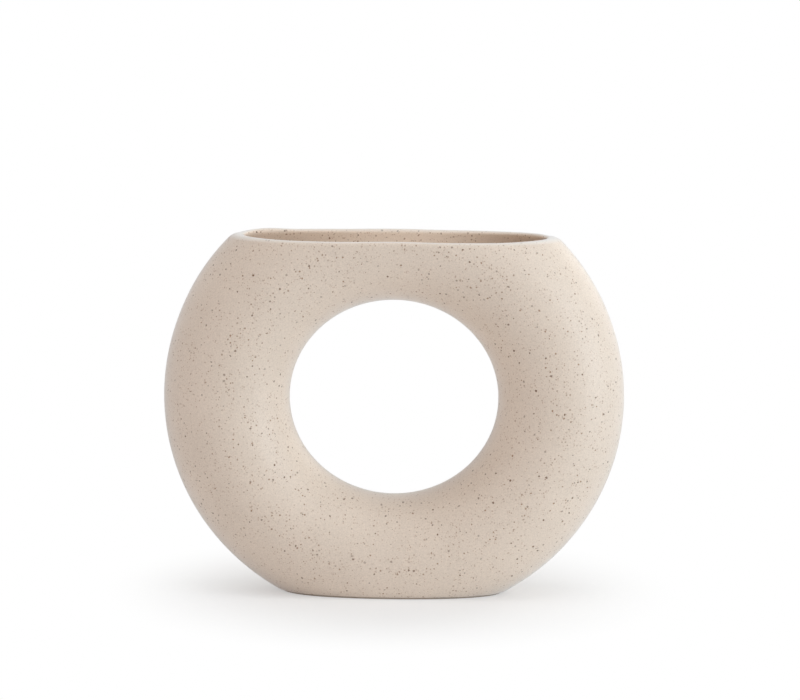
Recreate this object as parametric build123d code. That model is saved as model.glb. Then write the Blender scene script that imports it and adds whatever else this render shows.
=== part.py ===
"""Donut vase: an upright oval ring of stoneware tube, cut flat below to stand and cut open above as a mouth.

The body is two cast half shells, front and back, luted together with slip along the plane of the ring.
A poured liner glaze seals the inside, and a speckled matt glaze covers the outside down to a bare foot.

Frame: millimetres, +Z up, +X to the right, -Y towards the viewer. The origin is the centre of the base,
on the surface that the vase stands on.
"""
import math
import os

from build123d import *

# Outer form, measured over the glaze
HOLE_WIDTH = 113.4  # oval hole through the ring, left to right
HOLE_HEIGHT = 106.8  # oval hole through the ring, bottom to top
TUBE_SIDE = 68.3  # tube beside the hole, from the hole to the outside
TUBE_TOP = 69.8  # tube above the hole, before the ring is cut open
TUBE_BOTTOM = 68.4  # tube below the hole, before the ring is cut flat
RING_DEPTH = 68.0  # tube from front to back
BASE_CUT = 15.1  # height cut off the ring below, to stand on
MOUTH_CUT = 35.2  # height cut off the ring above, to open the mouth

# Walls and coats
CLAY_WALL = 4.2  # fired clay of the half shells
CLAY_FLOOR = 5.5  # fired clay under the cavity
GLAZE = 0.4  # thickness of each glaze coat
BOND = 0.05  # clearance between the clay and the coat that is fired onto it
SEAM = 0.8  # slip between the two half shells

# Edges
LIP_RADIUS = 1.8  # rounding of the clay lip, inside and outside
FOOT_RADIUS = 0.9  # rounding of the clay round the base
FOOT_BAND = 0.9  # bare clay between the base and the lower edge of the outer glaze
FOOT_RIM = 9.0  # width of the foot rim round the hollow under the base
RECESS_DEPTH = 1.2  # depth of that hollow

# How the shape is drawn
STATIONS = 16  # tube sections round the ring
EDGE_SHARE = 0.45  # most of a wall that one rounded edge may take

# Sizes that follow
RING_WIDTH = HOLE_WIDTH + 2 * TUBE_SIDE
RING_HEIGHT = TUBE_BOTTOM + HOLE_HEIGHT + TUBE_TOP
RING_AXIS = RING_HEIGHT / 2 - BASE_CUT  # height of the middle of the outer oval
HOLE_AXIS = TUBE_BOTTOM + HOLE_HEIGHT / 2 - BASE_CUT  # height of the middle of the hole
RIM_HEIGHT = RING_HEIGHT - BASE_CUT - MOUTH_CUT
GLAZED_WALL = CLAY_WALL + 2 * GLAZE
REACH = 2 * max(RING_WIDTH, RING_HEIGHT, RING_DEPTH)  # past every face of the vase


def tube_section(angle, inset):
    """The oval section of the tube at an angle round the ring, drawn in by inset from the outer form."""
    outer = Vector(
        (RING_WIDTH / 2 - inset) * math.cos(angle),
        0,
        (RING_HEIGHT / 2 - inset) * math.sin(angle) + RING_AXIS,
    )
    inner = Vector(
        (HOLE_WIDTH / 2 + inset) * math.cos(angle),
        0,
        (HOLE_HEIGHT / 2 + inset) * math.sin(angle) + HOLE_AXIS,
    )
    across = inner - outer
    plane = Plane(
        origin=(outer + inner) / 2,
        x_dir=across,
        z_dir=across.cross(Vector(0, 1, 0)),
    )
    return plane * Ellipse(across.length / 2, RING_DEPTH / 2 - inset)


def ring(inset):
    """The whole oval ring as a solid: an upper and a lower half that meet at its sides."""
    step = 2 * math.pi / STATIONS
    halves = []
    for start in (0, math.pi):
        sections = [tube_section(start + step * k, inset) for k in range(STATIONS // 2 + 1)]
        halves.append(loft(sections))
    return halves[0] + halves[1]


def layer(bottom, top):
    """A wide slab between two heights."""
    return Pos(0, 0, (bottom + top) / 2) * Box(REACH, REACH, top - bottom)


def side(start, end):
    """A wide slab between two depths along Y."""
    return Pos(0, (start + end) / 2, 0) * Box(REACH, end - start, 2 * REACH)


def edges_at(shape, height):
    """The edges of a shape that lie in one level plane."""
    return shape.edges().filter_by_position(Axis.Z, height, height)


def vessel(skin, wall, floor, rim, lip):
    """An open hollow ring: skin is its inset from the outer form, and its lip is rounded on both edges."""
    outside = ring(skin) & layer(0, rim)
    cavity = ring(skin + wall) & layer(floor, REACH)
    body = outside - cavity
    return fillet(edges_at(body, rim), min(lip, EDGE_SHARE * wall))


def clay_vessel():
    """Both half shells and their seam as one wall, before the foot is finished."""
    return vessel(GLAZE, CLAY_WALL, CLAY_FLOOR, RIM_HEIGHT - GLAZE, LIP_RADIUS)


def glazed_vessel():
    """The finished wall, clay and both coats together."""
    return vessel(0, GLAZED_WALL, CLAY_FLOOR + GLAZE, RIM_HEIGHT, LIP_RADIUS + GLAZE)


def glaze_bed():
    """The space that the coats leave for the clay."""
    skin = GLAZE - BOND
    return vessel(skin, CLAY_WALL + 2 * BOND, CLAY_FLOOR + BOND, RIM_HEIGHT - skin, LIP_RADIUS + BOND)


def base_half_size():
    """Half the width and half the depth of the clay where the ring is cut flat below."""
    along = RING_AXIS / (RING_HEIGHT / 2 - GLAZE)
    across = (TUBE_BOTTOM / 2 - BASE_CUT) / (TUBE_BOTTOM / 2 - GLAZE)
    half_width = (RING_WIDTH / 2 - GLAZE) * math.sqrt(1 - along**2)
    half_depth = (RING_DEPTH / 2 - GLAZE) * math.sqrt(1 - across**2)
    return half_width, half_depth


def finish_foot(clay):
    """Rounds the base and sinks the hollow inside its foot rim."""
    half_width, half_depth = base_half_size()
    hollow = Ellipse(half_width - FOOT_RIM, half_depth - FOOT_RIM)
    rounded = fillet(edges_at(clay, 0), FOOT_RADIUS)
    return rounded - extrude(hollow, RECESS_DEPTH)


def clay_parts(clay):
    """The two half shells, and the slip that joins them round the outside and round the hole."""
    slip = clay & side(-SEAM / 2, SEAM / 2)
    hole_slip, outer_slip = slip.solids().sort_by(SortBy.VOLUME)
    front = clay & side(-REACH, -SEAM / 2)
    return {
        "front_half_shell": front,
        "back_half_shell": mirror(front, about=Plane.XZ),
        "outer_seam_slip": outer_slip,
        "hole_seam_slip": hole_slip,
    }


def glaze_parts():
    """The outer and the liner coat, which meet along the middle of the lip."""
    coat = glazed_vessel() - glaze_bed()
    middle = ring(GLAZED_WALL / 2)
    return {
        "outer_glaze": (coat & layer(FOOT_BAND, REACH)) - middle,
        "liner_glaze": coat & middle,
    }


def main():
    os.makedirs("parts", exist_ok=True)
    parts = {**clay_parts(finish_foot(clay_vessel())), **glaze_parts()}
    for name, shape in parts.items():
        export_step(shape, f"parts/{name}.step")
        print(f"{name}: {shape.volume:.0f} mm3")


main()
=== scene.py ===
"""Looks of the donut vase: both glaze coats as shells over the clay, a floor, light and a camera.

Metres, in the frame of the CAD model: +Z up, +X to the right, -Y towards the viewer.
"""
import math

import bpy
import numpy as np
from mathutils import Matrix, Vector


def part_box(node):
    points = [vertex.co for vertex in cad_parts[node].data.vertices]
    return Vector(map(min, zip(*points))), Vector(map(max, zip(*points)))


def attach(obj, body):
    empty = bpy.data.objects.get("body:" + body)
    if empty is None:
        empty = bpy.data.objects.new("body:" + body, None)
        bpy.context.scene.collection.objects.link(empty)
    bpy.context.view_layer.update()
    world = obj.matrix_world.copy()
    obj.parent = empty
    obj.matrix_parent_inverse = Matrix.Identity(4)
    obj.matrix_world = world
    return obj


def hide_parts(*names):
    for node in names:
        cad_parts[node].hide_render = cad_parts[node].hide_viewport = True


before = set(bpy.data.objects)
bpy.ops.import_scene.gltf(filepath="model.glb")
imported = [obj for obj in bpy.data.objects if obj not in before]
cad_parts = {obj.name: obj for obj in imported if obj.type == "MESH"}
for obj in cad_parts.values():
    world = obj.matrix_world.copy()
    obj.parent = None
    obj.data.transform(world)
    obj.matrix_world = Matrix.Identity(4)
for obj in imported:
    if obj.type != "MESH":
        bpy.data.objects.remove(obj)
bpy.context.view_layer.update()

# Sizes read from the CAD nodes
outer_low, outer_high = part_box("outer_glaze")
liner_low, liner_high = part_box("liner_glaze")
clay_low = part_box("front_half_shell")[0]
hole_low, hole_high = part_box("hole_seam_slip")
GLAZE = clay_low.y - outer_low.y
WALL = 2 * (outer_high.y - liner_high.y)  # the lining ends on the crest of the lip, at half the wall
RIM_Z = outer_high.z
FOOT_Z = outer_low.z
FLOOR_Z = liner_low.z + GLAZE
AXIS_RISE = 0.0007  # how much higher the outer oval sits than the hole
HOLE_AXIS = (hole_low.z + hole_high.z) / 2
RING_AXIS = HOLE_AXIS + AXIS_RISE
RING_CENTRE = Vector((0, 0, HOLE_AXIS))
HALF_WIDTH = outer_high.x
HALF_DEPTH = outer_high.y
HOLE_X = hole_high.x - (WALL - GLAZE)
HOLE_Z = hole_high.z - HOLE_AXIS - (WALL - GLAZE)
LEVEL_SLACK = GLAZE / 10  # points of the outer coat as near as this to its lowest are its lower edge
coat_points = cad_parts["outer_glaze"].data.vertices
FOOT_REACH = max(v.co.x for v in coat_points if v.co.z < FOOT_Z + LEVEL_SLACK)
HALF_HEIGHT = (RING_AXIS - FOOT_Z) / math.sqrt(1 - (FOOT_REACH / HALF_WIDTH) ** 2)

# Edges of the glaze
LIP_HEIGHT = 0.44 * WALL  # how far the rounding of the lip comes down
FOOT_ROLL = 1.2 * GLAZE  # height of the rounded lower edge of the outer coat
BOND = 0.05 * GLAZE  # clearance between a coat and the clay
BED = GLAZE - BOND  # depth of the side of a coat that lies on the clay

# How far the rim, finished by hand, stands above the drawn form
END_LIFT = 0.0003  # at both ends of the mouth
END_START = 0.055  # distance from the middle at which that lift begins
END_FULL = 0.080  # distance from the middle at which it is whole
LEFT_LIFT = 0.0009  # at the back of the mouth's left end
LEFT_PLACE = -0.072  # where that lift is greatest, across the vase
LEFT_REACH = 0.020  # distance to either side at which it ends
LEFT_START = -0.010  # depth at which that lift begins
LEFT_FULL = 0.020  # depth at which it is whole
MIDDLE_LIFT = 0.0004  # in the middle of the mouth
MIDDLE_REACH = 0.032  # distance to either side at which it ends
OUTER_SETTLE = 0.020  # height below the rim over which the outer coat takes up these lifts

# How far the ring's shoulders, finished by hand, swell out of the drawn form
LEFT_SHOULDER = 0.0006
LEFT_SHOULDER_TURN = math.radians(142)
RIGHT_SHOULDER = 0.0003
RIGHT_SHOULDER_TURN = math.radians(38)
SHOULDER_REACH = math.radians(22)
SHOULDER_DEPTH = 0.9 * WALL  # depth inside the ring's outline at which the swelling ends

# Fineness of the meshes
MOUTH_STATIONS = 121
FOOT_STATIONS = 81
SIDE_STATIONS = 101
CUT_FINENESS = 40  # trial points for each station along a level cut
TUBE_ROWS = 48
LIP_ROWS = 8
ROLL_ROWS = 4
FLOOR_ROWS = 12
WELD_DIGITS = 7  # corners that agree to this many decimals are one point
SHARP_TURN = math.radians(40)  # edges that turn more than this are sharp

# Layout of the flat map that the finish can be drawn on: its bands are scaled to fill it
TUBE_BAND = 107.0
FLOOR_BAND = 22.0
LIP_BAND = 6.0
ROLL_BAND = 3.0
HIDDEN_BAND = 2.0
TUBE_PARTS = 3  # the tube is cut into this many bands
BAND_GAP = 0.002  # margin round each patch, as a share of the map
HALF_MAP = 0.5  # the front takes the left half and the back takes the right half

MIRROR = np.array((1, -1, 1))  # turns the front into the back

# Finish of the glaze: sizes are those of the patches of a pattern
SPECKLED_PALE = (0.862, 0.740, 0.628, 1)
SPECKLED_DEEP = (0.638, 0.540, 0.452, 1)
SPECKLED_HIGHLIGHT_TURN = 0.70  # upward turn of the faces at which the outer coat begins to take the painted highlight
# Tones of the coat inside, paler than the outer coat's: painted light that brightens the shaded inside of
# the mouth
LINING_PALE_LIT = (0.950, 0.800, 0.670, 1)
LINING_DEEP_LIT = (0.780, 0.645, 0.525, 1)
LINING_HIGHLIGHT_TURN = 0.25  # the same for the coat inside
# Painted highlight on the lip: faces that turn upwards near the rim are paler and cooler, as where they
# catch the light; the glaze also runs thin over the lip
LIP_HIGHLIGHT_COLOUR = (0.90, 0.85, 0.79, 1)
LIP_HIGHLIGHT_SHARE = 0.80  # share of the painted highlight's colour on the crest
LIP_HIGHLIGHT_LOW = RIM_Z - 1.5 * LIP_HEIGHT  # height at which the painted highlight begins
LIP_HIGHLIGHT_HIGH = RIM_Z - 0.3 * LIP_HEIGHT  # height at which it is whole
CLOUD_SIZE = 0.020
CLOUD_SHARE = 0.3  # share of the tone that comes from the clouds, and the rest from the grain
GRAIN_SIZE = 0.0008
GRAIN_LOW = 0.25  # levels of the grain between which the tone goes from pale to deep
GRAIN_HIGH = 0.75
GLAZE_SMOOTHEST = 0.44
GLAZE_ROUGHEST = 0.56

# Iron specks in the glaze
CROWD_SIZE = 0.014  # patches in which the specks gather
RAGGED_SIZE = 0.0012  # patches that are shifted together, so that specks aren't round
RAGGED_SHIFT = 0.0008  # greatest shift
SPECK_EDGE = 0.00015  # width of a speck's soft edge
SMALLEST_SPECK = 0.45  # as a share of the layer's radius
LARGEST_SPECK = 1.45  # likewise
FAINTEST_SPECK = 0.4  # as a share of the layer's strength
SPECK_LAYERS = (  # spacing, radius, strength and colour
    (0.00114, 0.00034, 0.62, (0.37, 0.195, 0.100, 1)),
    (0.00195, 0.00042, 0.88, (0.29, 0.143, 0.062, 1)),
    (0.00305, 0.00050, 1.00, (0.15, 0.066, 0.022, 1)),
)

# Finish of the bare clay
BISQUE_PALE = (0.52, 0.43, 0.35, 1)
SLIP_PALE = (0.49, 0.41, 0.33, 1)
CLAY_DEEP = (0.40, 0.32, 0.25, 1)
SAND_SIZE = 0.0006
SAND_SHARE = 0.5  # share of the tone that comes from the sand, and the rest from the stains
STAIN_SIZE = 0.008
CLAY_SMOOTHEST = 0.8
CLAY_ROUGHEST = 0.9

# Floor
FLOOR_HALF = 30.0
FLOOR_COLOUR = (0.90, 0.90, 0.90, 1)
WHITE = (1, 1, 1, 1)
SHADOW_OVAL = (1.0, 0.8, 1.0)  # the shadow is kept over an oval that is deeper than wide
SHADOW_START = 0.045  # half width of the oval at which the floor begins to pale
SHADOW_END = 0.16  # half width of the oval at which it is white
SHADOW_PALING = 0.40  # share of white in the midst of the shadow


def section_heights(around, inset):
    """Heights of the hole's edge and of the outer edge of the tube, at angles round the ring."""
    hole = HOLE_AXIS + (HOLE_Z + inset) * np.sin(around)
    outer = RING_AXIS + (HALF_HEIGHT - inset) * np.sin(around)
    return hole, outer


def skin(around, across, inset):
    """Points of the ring's skin: around it from the right, across the tube from the hole by the front."""
    share = (1 - np.cos(across)) / 2
    hole, outer = section_heights(around, inset)
    x = ((HOLE_X + inset) * (1 - share) + (HALF_WIDTH - inset) * share) * np.cos(around)
    y = -(HALF_DEPTH - inset) * np.sin(across)
    z = hole * (1 - share) + outer * share
    return np.stack(np.broadcast_arrays(x, y, z), axis=-1)


def level_cut(height, inset, count):
    """Angles around and across at even steps along a level cut through the front of the ring's skin."""
    rise = height - RING_AXIS
    end = math.asin(abs(rise) / (HALF_HEIGHT - inset))
    start = 0 if rise > 0 else math.pi

    def angles(sweep):
        around = start + math.pi / 2 - (math.pi / 2 - end) * np.cos(sweep)
        hole, outer = section_heights(around, inset)
        share = (height - hole) / (outer - hole)
        return around, np.arccos(np.clip(1 - 2 * share, -1, 1))

    sweep = np.linspace(0, math.pi, CUT_FINENESS * count)
    steps = np.linalg.norm(np.diff(skin(*angles(sweep), inset), axis=0), axis=1)
    length = np.concatenate([[0], np.cumsum(steps)])
    return angles(np.interp(np.linspace(0, length[-1], count), length, sweep))


def tube_sheet(top, bottom, inset):
    """Grid over the front of the tube between two level cuts: stations round the ring by rows across it."""
    mouth_around, mouth_across = level_cut(top, inset, MOUTH_STATIONS)
    foot_around, foot_across = level_cut(bottom, inset, FOOT_STATIONS)
    left = np.linspace(mouth_around[-1], foot_around[0], SIDE_STATIONS)[1:-1]
    right = np.linspace(foot_around[-1], mouth_around[0] + 2 * math.pi, SIDE_STATIONS)[1:]
    around = np.concatenate([mouth_around, left, foot_around, right])
    whole = np.full(len(left), math.pi)
    across = np.concatenate([mouth_across, whole, foot_across, whole, mouth_across[:1]])
    rows = np.linspace(0, 1, TUBE_ROWS + 1)
    return skin(around[:, None], across[:, None] * rows, inset)


def foot_edge(sheet):
    """The lower edge of a sheet over the tube: its stations come after the mouth and the left side."""
    start = MOUTH_STATIONS + SIDE_STATIONS - 2
    return sheet[start:start + FOOT_STATIONS, -1]


def level_strip(profile, count):
    """Grid along level cuts, one for each inset and height of a profile."""
    cuts = [skin(*level_cut(height, inset, count), inset) for inset, height in profile]
    return np.stack(cuts, axis=1)


def lip_profile(start, end, coat):
    """Insets and heights over the lip from one turn to another, a coat's depth below its surface.

    A turn of 0 is the outside of the lip, pi / 2 its crest and pi its inside.
    """
    turns = np.linspace(start, end, LIP_ROWS + 1)
    half = WALL / 2 - coat
    top = RIM_Z - coat
    return [(WALL / 2 - half * math.cos(t), top - LIP_HEIGHT * (1 - math.sin(t))) for t in turns]


def foot_profile():
    """Insets and heights round the lower edge of the outer coat."""
    turns = np.linspace(0, math.pi / 2, ROLL_ROWS + 1)
    return [(GLAZE * (1 - math.cos(t)), FOOT_Z + FOOT_ROLL * (1 - math.sin(t))) for t in turns]


def to_middle(edge):
    """Grid from a front edge straight back to the plane of the ring."""
    grid = np.repeat(edge[:, None, :], FLOOR_ROWS + 1, axis=1)
    grid[:, :, 1] *= np.linspace(1, 0, FLOOR_ROWS + 1)
    return grid


def ramp(value, start, end):
    """A smooth rise from 0 at start to 1 at end."""
    share = np.clip((value - start) / (end - start), 0, 1)
    return share * share * (3 - 2 * share)


def swell(value, centre, reach):
    """A smooth hill: 1 at its centre and 0 past its reach."""
    return ramp(reach - np.abs(value - centre), 0, reach)


def rim_lift(x, y, z, settle):
    """How far points are lifted by the uneven rim, which settles to nothing below it."""
    ends = END_LIFT * ramp(np.abs(x), END_START, END_FULL)
    left = LEFT_LIFT * swell(x, LEFT_PLACE, LEFT_REACH) * ramp(y, LEFT_START, LEFT_FULL)
    middle = MIDDLE_LIFT * swell(x, 0, MIDDLE_REACH)
    return (ends + left + middle) * ramp(z, RIM_Z - settle, RIM_Z)


def shoulder_push(x, z, around):
    """How far points near the ring's outline are pushed out by its swelling shoulders."""
    left = LEFT_SHOULDER * swell(around, LEFT_SHOULDER_TURN, SHOULDER_REACH)
    right = RIGHT_SHOULDER * swell(around, RIGHT_SHOULDER_TURN, SHOULDER_REACH)
    outwards = np.hypot(x / HALF_WIDTH, (z - RING_AXIS) / HALF_HEIGHT)
    return (left + right) * ramp(outwards, 1 - SHOULDER_DEPTH / HALF_WIDTH, 1)


def by_hand(points, settle):
    """Points with the slight unevenness of a rim and shoulders that were sponged by hand."""
    x, y, z = np.moveaxis(points, -1, 0)
    around = np.arctan2(z - RING_AXIS, x)
    push = shoulder_push(x, z, around)
    lift = rim_lift(x, y, z, settle)
    return np.stack([x + push * np.cos(around), y, z + push * np.sin(around) + lift], axis=-1)


def quads(grid, u, v, flip):
    """The four corners of each quad of a grid: a point and its place on the flat map, five numbers."""
    flat = np.stack(np.meshgrid(u, v, indexing="ij"), axis=-1)
    laid = np.concatenate([grid, flat], axis=-1)
    corners = np.stack([laid[:-1, :-1], laid[1:, :-1], laid[1:, 1:], laid[:-1, 1:]], axis=2)
    corners = corners.reshape(-1, 4, 5)
    return corners[:, ::-1] if flip else corners


def both_sides(patches, settle):
    """Quads of front grids and of their mirror images behind the plane of the ring.

    A patch is a grid, whether its faces are flipped, the width of its band and the number of parts that it
    is cut into. Each part has a band of its own on the flat map.
    """
    whole = sum(band * parts for _, _, band, parts in patches)
    low = 0.0
    found = []
    for grid, flip, band, parts in patches:
        cuts = np.linspace(0, len(grid) - 1, parts + 1).astype(int)
        for start, end in zip(cuts, cuts[1:]):
            part = grid[start:end + 1]
            u = np.linspace(BAND_GAP, HALF_MAP - BAND_GAP, len(part))
            v = np.linspace(low + BAND_GAP, low + band / whole - BAND_GAP, part.shape[1])
            found.append(quads(by_hand(part, settle), u, v, flip))
            found.append(quads(by_hand(part * MIRROR, settle), u + HALF_MAP, v, not flip))
            low += band / whole
    return np.concatenate(found)


def joined_mesh(name, corners):
    """A smooth mesh of quads that are joined where their corners meet, with the flat map."""
    corners = corners.reshape(-1, 5)
    rounded = np.round(corners[:, :3], WELD_DIGITS)
    _, first, inverse = np.unique(rounded, axis=0, return_index=True, return_inverse=True)
    faces = []
    flat = []
    ids = inverse.reshape(-1, 4).tolist()
    places = corners[:, 3:].reshape(-1, 4, 2).tolist()
    for face_ids, face_places in zip(ids, places):
        face = dict(zip(face_ids, face_places))  # corners that coincide are kept once
        if len(face) > 2:
            faces.append(list(face))
            flat.extend(face.values())
    mesh = bpy.data.meshes.new(name)
    mesh.from_pydata(corners[first, :3].tolist(), [], faces)
    mesh.uv_layers.new(name="OFBake").uv.foreach_set("vector", np.ravel(flat))
    mesh.shade_smooth()
    mesh.set_sharp_from_angle(angle=SHARP_TURN)
    return mesh


def shell_piece(name, patches, settle, material, node):
    """One coat of glaze, in place of its CAD node."""
    mesh = joined_mesh(name, both_sides(patches, settle))
    mesh.materials.append(material)
    piece = bpy.data.objects.new(name, mesh)
    bpy.context.scene.collection.objects.link(piece)
    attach(piece, "root")
    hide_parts(node)


def outer_coat(material):
    """The speckled coat from the crest of the lip down to the foot, with the side that lies on the clay."""
    sheet = tube_sheet(RIM_Z - LIP_HEIGHT, FOOT_Z + FOOT_ROLL, 0)
    lip = level_strip(lip_profile(0, math.pi / 2, 0), MOUTH_STATIONS)
    roll = level_strip(foot_profile(), FOOT_STATIONS)
    bed_sheet = tube_sheet(RIM_Z - BED - LIP_HEIGHT, FOOT_Z, BED)
    bed_lip = level_strip(lip_profile(0, math.pi / 2, BED), MOUTH_STATIONS)
    crest = np.stack([lip[:, -1], bed_lip[:, -1]], axis=1)
    edge = np.stack([roll[:, -1], foot_edge(bed_sheet)], axis=1)
    patches = [
        (sheet, True, TUBE_BAND, TUBE_PARTS),
        (lip, True, LIP_BAND, 1),
        (roll, True, ROLL_BAND, 1),
        (crest, True, HIDDEN_BAND, 1),
        (edge, True, HIDDEN_BAND, 1),
        (bed_sheet, False, HIDDEN_BAND, TUBE_PARTS),
        (bed_lip, False, HIDDEN_BAND, 1),
    ]
    shell_piece("speckled_coat", patches, OUTER_SETTLE, material, "outer_glaze")


def liner_coat(material):
    """The coat inside, from the crest of the lip down the cavity and over its floor."""
    sheet = tube_sheet(RIM_Z - LIP_HEIGHT, FLOOR_Z, WALL)
    lip = level_strip(lip_profile(math.pi / 2, math.pi, 0), MOUTH_STATIONS)
    bed_sheet = tube_sheet(RIM_Z - BED - LIP_HEIGHT, FLOOR_Z - BED, WALL - BED)
    bed_lip = level_strip(lip_profile(math.pi / 2, math.pi, BED), MOUTH_STATIONS)
    crest = np.stack([bed_lip[:, 0], lip[:, 0]], axis=1)
    patches = [
        (sheet, False, TUBE_BAND, TUBE_PARTS),
        (lip, True, LIP_BAND, 1),
        (to_middle(foot_edge(sheet)), True, FLOOR_BAND, 1),
        (crest, True, HIDDEN_BAND, 1),
        (to_middle(foot_edge(bed_sheet)), False, HIDDEN_BAND, 1),
        (bed_sheet, True, HIDDEN_BAND, TUBE_PARTS),
        (bed_lip, False, HIDDEN_BAND, 1),
    ]
    shell_piece("liner_coat", patches, LIP_HEIGHT, material, "liner_glaze")


def add_node(tree, kind, inputs=None, **settings):
    """A shader node with its settings, and its inputs set or linked."""
    made = tree.nodes.new(kind)
    for name, value in settings.items():
        setattr(made, name, value)
    for name, value in (inputs or {}).items():
        if isinstance(value, bpy.types.NodeSocket):
            tree.links.new(value, made.inputs[name])
        else:
            made.inputs[name].default_value = value
    return made


def calculate(tree, operation, first, second, clamp=False):
    """The result of one Math node."""
    made = add_node(tree, "ShaderNodeMath", {0: first, 1: second}, operation=operation, use_clamp=clamp)
    return made.outputs[0]


def spread(tree, value, low, high):
    """A value from 0 to 1, spread between two levels."""
    return calculate(tree, "ADD", calculate(tree, "MULTIPLY", value, high - low), low)


def weighted(tree, first, second, share):
    """A share of the first value and the rest of the second."""
    part = calculate(tree, "MULTIPLY", first, share)
    rest = calculate(tree, "MULTIPLY", second, 1 - share)
    return calculate(tree, "ADD", part, rest)


def remap(tree, value, start, end, low=0.0, high=1.0, smooth=False):
    """A value that goes from low at start to high at end, and stays level outside them."""
    made = add_node(
        tree,
        "ShaderNodeMapRange",
        {"Value": value, "From Min": start, "From Max": end, "To Min": low, "To Max": high},
        interpolation_type="SMOOTHSTEP" if smooth else "LINEAR",
    )
    return made.outputs["Result"]


def mix_colours(tree, factor, first, second):
    """A blend of two colours, by the Mix node's colour sockets."""
    made = add_node(tree, "ShaderNodeMix", {"Factor": factor, 6: first, 7: second}, data_type="RGBA")
    return made.outputs[2]


def noise(tree, where, size, detail=2.0, roughness=0.5):
    """Noise from about 0 to 1 whose patches are about as wide as size."""
    made = add_node(
        tree,
        "ShaderNodeTexNoise",
        {"Vector": where, "Scale": 1 / size, "Detail": detail, "Roughness": roughness},
    )
    return made.outputs["Fac"]


def new_material(name):
    """An empty node material with its output and the coordinates of its object."""
    material = bpy.data.materials.new(name)
    material.use_nodes = True
    tree = material.node_tree
    tree.nodes.clear()
    output = add_node(tree, "ShaderNodeOutputMaterial")
    where = add_node(tree, "ShaderNodeTexCoord").outputs["Object"]
    return material, tree, output, where


def ragged(tree, where):
    """Coordinates shifted at random, so that round specks come out irregular."""
    jitter = add_node(
        tree,
        "ShaderNodeTexNoise",
        {"Vector": where, "Scale": 1 / RAGGED_SIZE, "Detail": 1.0},
    )
    shift = add_node(
        tree,
        "ShaderNodeVectorMath",
        {0: jitter.outputs["Color"], 1: (RAGGED_SHIFT, RAGGED_SHIFT, RAGGED_SHIFT)},
        operation="MULTIPLY",
    )
    return add_node(tree, "ShaderNodeVectorMath", {0: where, 1: shift.outputs[0]}).outputs[0]


def specks(tree, where, spacing, radius, share):
    """Mask of specks: a cell as wide as spacing holds one or none, of its own size and strength."""
    cells = add_node(tree, "ShaderNodeTexVoronoi", {"Vector": where, "Scale": 1 / spacing})
    chance = add_node(tree, "ShaderNodeSeparateColor", {"Color": cells.outputs["Color"]})
    reach = radius / spacing
    size = spread(tree, chance.outputs["Green"], SMALLEST_SPECK * reach, LARGEST_SPECK * reach)
    inside = calculate(tree, "SUBTRACT", size, cells.outputs["Distance"])
    mask = calculate(tree, "DIVIDE", inside, SPECK_EDGE / spacing, clamp=True)
    present = calculate(tree, "LESS_THAN", chance.outputs["Red"], share)
    strength = spread(tree, chance.outputs["Blue"], FAINTEST_SPECK, 1.0)
    return calculate(tree, "MULTIPLY", calculate(tree, "MULTIPLY", mask, present), strength)


def speckle(tree, where, colour):
    """A colour with iron specks of several sizes, which gather in places."""
    spots = ragged(tree, where)
    crowd = noise(tree, where, CROWD_SIZE, detail=1.0)
    for spacing, radius, strength, iron in SPECK_LAYERS:
        mask = specks(tree, spots, spacing, radius, crowd)
        colour = mix_colours(tree, calculate(tree, "MULTIPLY", mask, strength), colour, iron)
    return colour


def lip_highlight_mask(tree, where, turn):
    """Where the glaze runs thin and fires paler over the lip, with a painted highlight: faces that turn
    upwards near the rim, as where they catch the light.
    """
    facing = add_node(tree, "ShaderNodeNewGeometry").outputs["Normal"]
    upward = add_node(tree, "ShaderNodeSeparateXYZ", {0: facing}).outputs["Z"]
    height = add_node(tree, "ShaderNodeSeparateXYZ", {0: where}).outputs["Z"]
    crest = remap(tree, upward, turn, 1.0, high=LIP_HIGHLIGHT_SHARE)
    near_rim = remap(tree, height, LIP_HIGHLIGHT_LOW, LIP_HIGHLIGHT_HIGH, smooth=True)
    return calculate(tree, "MULTIPLY", crest, near_rim)


def glaze_material(name, pale, deep, highlight_turn):
    """Matt glaze with a fine grain between two beiges, iron specks, and a lip that is paler where the glaze
    runs thin, with a painted highlight on it.
    """
    material, tree, output, where = new_material(name)
    cloud = noise(tree, where, CLOUD_SIZE)
    grain = noise(tree, where, GRAIN_SIZE, roughness=0.7)
    tone = weighted(tree, cloud, remap(tree, grain, GRAIN_LOW, GRAIN_HIGH), CLOUD_SHARE)
    colour = speckle(tree, where, mix_colours(tree, tone, pale, deep))
    # Painted highlight on the lip's upturned faces, where the glaze is also thin
    colour = mix_colours(tree, lip_highlight_mask(tree, where, highlight_turn), colour, LIP_HIGHLIGHT_COLOUR)
    bump = add_node(tree, "ShaderNodeBump", {"Strength": 0.15, "Distance": 0.0003, "Height": grain})
    shader = add_node(
        tree,
        "ShaderNodeBsdfPrincipled",
        {
            "Base Color": colour,
            "Roughness": spread(tree, grain, GLAZE_SMOOTHEST, GLAZE_ROUGHEST),
            "Normal": bump.outputs[0],
            "Specular IOR Level": 0.5,
            "Sheen Weight": 0.70,
            "Sheen Roughness": 0.42,
            "Sheen Tint": (0.90, 0.95, 1.0, 1),
        },
    )
    tree.links.new(shader.outputs[0], output.inputs["Surface"])
    return material


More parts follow.
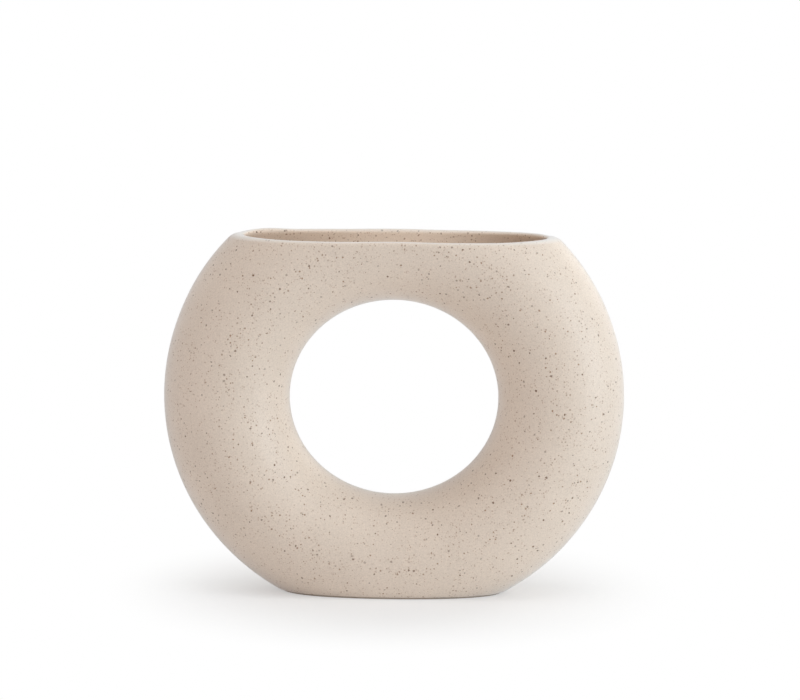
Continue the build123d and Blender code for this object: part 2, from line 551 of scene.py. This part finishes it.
def clay_material(name, pale):
    """Bare fired clay: dry, sandy and slightly uneven in colour."""
    material, tree, output, where = new_material(name)
    sand = noise(tree, where, SAND_SIZE, detail=3.0)
    stain = noise(tree, where, STAIN_SIZE)
    bump = add_node(tree, "ShaderNodeBump", {"Strength": 0.3, "Distance": 0.0003, "Height": sand})
    shader = add_node(
        tree,
        "ShaderNodeBsdfPrincipled",
        {
            "Base Color": mix_colours(tree, weighted(tree, sand, stain, SAND_SHARE), pale, CLAY_DEEP),
            "Roughness": spread(tree, sand, CLAY_SMOOTHEST, CLAY_ROUGHEST),
            "Normal": bump.outputs[0],
            "Specular IOR Level": 0.3,
        },
    )
    tree.links.new(shader.outputs[0], output.inputs["Surface"])
    return material


def dress_solids(names, material):
    """A material on CAD solids that are kept as they are."""
    for name in names:
        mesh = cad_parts[name].data
        mesh.materials.clear()
        mesh.materials.append(material)


def direct_rays(tree):
    """1 for rays that the camera sees straight, in a reflection or through glass, and 0 for the rest."""
    rays = add_node(tree, "ShaderNodeLightPath")
    seen = calculate(tree, "MAXIMUM", rays.outputs["Is Camera Ray"], rays.outputs["Is Glossy Ray"])
    return calculate(tree, "MAXIMUM", seen, rays.outputs["Is Transmission Ray"])


def floor_material():
    """A plain pale floor. To the camera it pales into white away from the vase, and keeps its shadow."""
    material, tree, output, where = new_material("pale_floor")
    oval = add_node(tree, "ShaderNodeVectorMath", {0: where, 1: SHADOW_OVAL}, operation="MULTIPLY")
    away = add_node(tree, "ShaderNodeVectorMath", {0: oval.outputs[0]}, operation="LENGTH")
    paling = remap(tree, away.outputs["Value"], SHADOW_START, SHADOW_END, low=SHADOW_PALING, smooth=True)
    seen = calculate(tree, "MULTIPLY", direct_rays(tree), paling)
    plain = add_node(
        tree,
        "ShaderNodeBsdfPrincipled",
        {"Base Color": FLOOR_COLOUR, "Roughness": 0.6, "Specular IOR Level": 0.0},
    )
    white = add_node(tree, "ShaderNodeEmission", {"Color": WHITE, "Strength": 1.0})
    surface = add_node(tree, "ShaderNodeMixShader", {0: seen, 1: plain.outputs[0], 2: white.outputs[0]})
    tree.links.new(surface.outputs[0], output.inputs["Surface"])
    return material


def floor_piece(material):
    """A wide level floor under the vase."""
    mesh = bpy.data.meshes.new("floor")
    half = FLOOR_HALF
    corners = [(-half, -half, 0), (half, -half, 0), (half, half, 0), (-half, half, 0)]
    mesh.from_pydata(corners, [], [(0, 1, 2, 3)])
    mesh.materials.append(material)
    floor = bpy.data.objects.new("floor", mesh)
    bpy.context.scene.collection.objects.link(floor)


def light_world(strength):
    """A white surround to the camera and in reflections, and a softer light from it for the rest."""
    world = bpy.data.worlds.new("studio")
    world.use_nodes = True
    tree = world.node_tree
    tree.nodes.clear()
    level = spread(tree, direct_rays(tree), strength, 1.0)
    shade = add_node(tree, "ShaderNodeBackground", {"Color": WHITE, "Strength": level})
    add_node(tree, "ShaderNodeOutputWorld", {"Surface": shade.outputs[0]})
    bpy.context.scene.world = world


def add_lamp(name, place, size, power, colour):
    """A soft square lamp that faces the middle of the ring."""
    lamp = bpy.data.lights.new(name, "AREA")
    lamp.shape = "SQUARE"
    lamp.size = size
    lamp.energy = power
    lamp.color = colour
    holder = bpy.data.objects.new(name, lamp)
    holder.location = place
    facing = RING_CENTRE - Vector(place)
    holder.rotation_euler = facing.to_track_quat("-Z", "Y").to_euler()
    bpy.context.scene.collection.objects.link(holder)


def add_camera():
    """A long lens a little above the vase, slightly rolled, as in the photograph; its lens and aim suit a
    picture 800 by 700 pixels in size.
    """
    azimuth = math.radians(1.292)
    elevation = math.radians(8.036)
    roll = math.radians(0.538)
    distance = 3.337
    aim_right = 0.00304  # from the middle of the ring to the middle of the picture
    aim_up = 0.02550  # likewise
    level = math.cos(elevation)
    back = Vector((math.sin(azimuth) * level, -math.cos(azimuth) * level, math.sin(elevation)))
    right = Vector((math.cos(azimuth), math.sin(azimuth), 0))
    up = back.cross(right)
    place = RING_CENTRE + distance * back
    target = RING_CENTRE + aim_right * right + aim_up * up
    data = bpy.data.cameras.new("camera")
    data.sensor_fit = "HORIZONTAL"
    data.sensor_width = 36.0
    data.lens = 276.3
    data.clip_end = 100.0
    camera = bpy.data.objects.new("camera", data)
    turn = (target - place).to_track_quat("-Z", "Y").to_matrix() @ Matrix.Rotation(roll, 3, "Z")
    camera.matrix_world = Matrix.Translation(place) @ turn.to_4x4()
    bpy.context.scene.collection.objects.link(camera)
    bpy.context.scene.camera = camera


# Vase
outer_coat(glaze_material("speckled_matt_glaze", SPECKLED_PALE, SPECKLED_DEEP, SPECKLED_HIGHLIGHT_TURN))
liner_coat(glaze_material("speckled_liner_glaze", LINING_PALE_LIT, LINING_DEEP_LIT, LINING_HIGHLIGHT_TURN))
dress_solids(("front_half_shell", "back_half_shell"), clay_material("bare_bisque", BISQUE_PALE))
dress_solids(("outer_seam_slip", "hole_seam_slip"), clay_material("joining_slip", SLIP_PALE))

# Studio
floor_piece(floor_material())
light_world(strength=0.36)
add_lamp("key", place=(1.45, -0.70, 0.30), size=1.0, power=17.2, colour=(0.86, 0.94, 1.0))
add_lamp("top", place=(0.10, -0.20, 1.70), size=1.0, power=8.2, colour=(1.0, 0.97, 0.94))
add_lamp("fill", place=(-1.30, -0.90, 0.05), size=0.8, power=7.0, colour=(1.0, 0.85, 0.81))
add_lamp("back", place=(1.00, 1.20, 0.80), size=0.8, power=4.9, colour=(1.0, 0.94, 0.82))
add_camera()
bpy.context.scene.view_settings.view_transform = "Standard"
